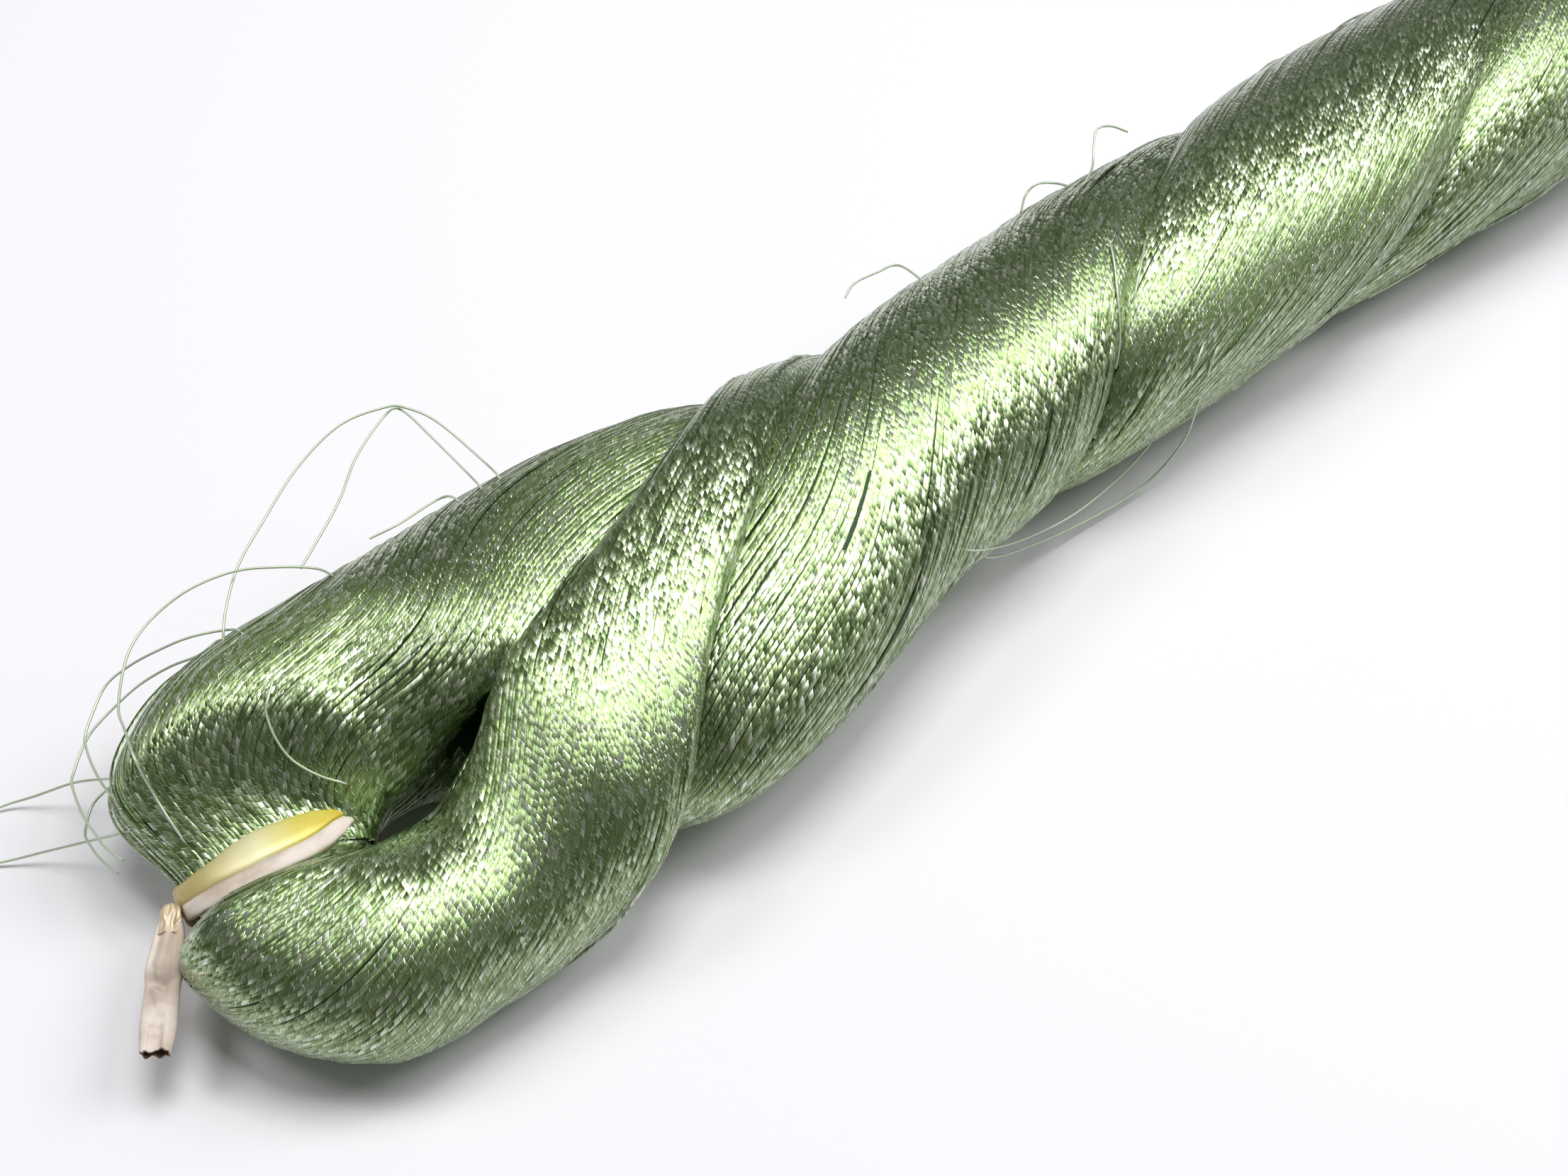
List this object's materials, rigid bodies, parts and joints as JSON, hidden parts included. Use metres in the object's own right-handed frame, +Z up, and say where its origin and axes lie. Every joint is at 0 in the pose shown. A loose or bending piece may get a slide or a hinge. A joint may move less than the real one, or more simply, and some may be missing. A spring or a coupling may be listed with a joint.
{
  "type": "skein of silver leaf thread",
  "caption": "Hank of foil-wound embroidery thread twisted on itself into a thick rope with a looped bight at each end, one of them tied with a strip of gilt paper.",
  "frame": {"origin": "on the table under the middle of the whole: the middle of the bottom of the bounding box", "axes": "+X along the twisted rope, away from the tied bight; +Y across it; +Z up from the table"},
  "size_m": [0.2254, 0.031, 0.019],
  "materials": {
    "foil_thread": "silver-green foil wound on a thread core, satin with bright facets",
    "gold_film": "glossy gold film on paper",
    "tie_paper": "matt crumpled paper"
  },
  "bodies": {
    "root": {"hank": "foil_thread", "tie_band": "gold_film", "tie_margin": "tie_paper", "tie_tail": "tie_paper"}
  },
  "joints": []
}
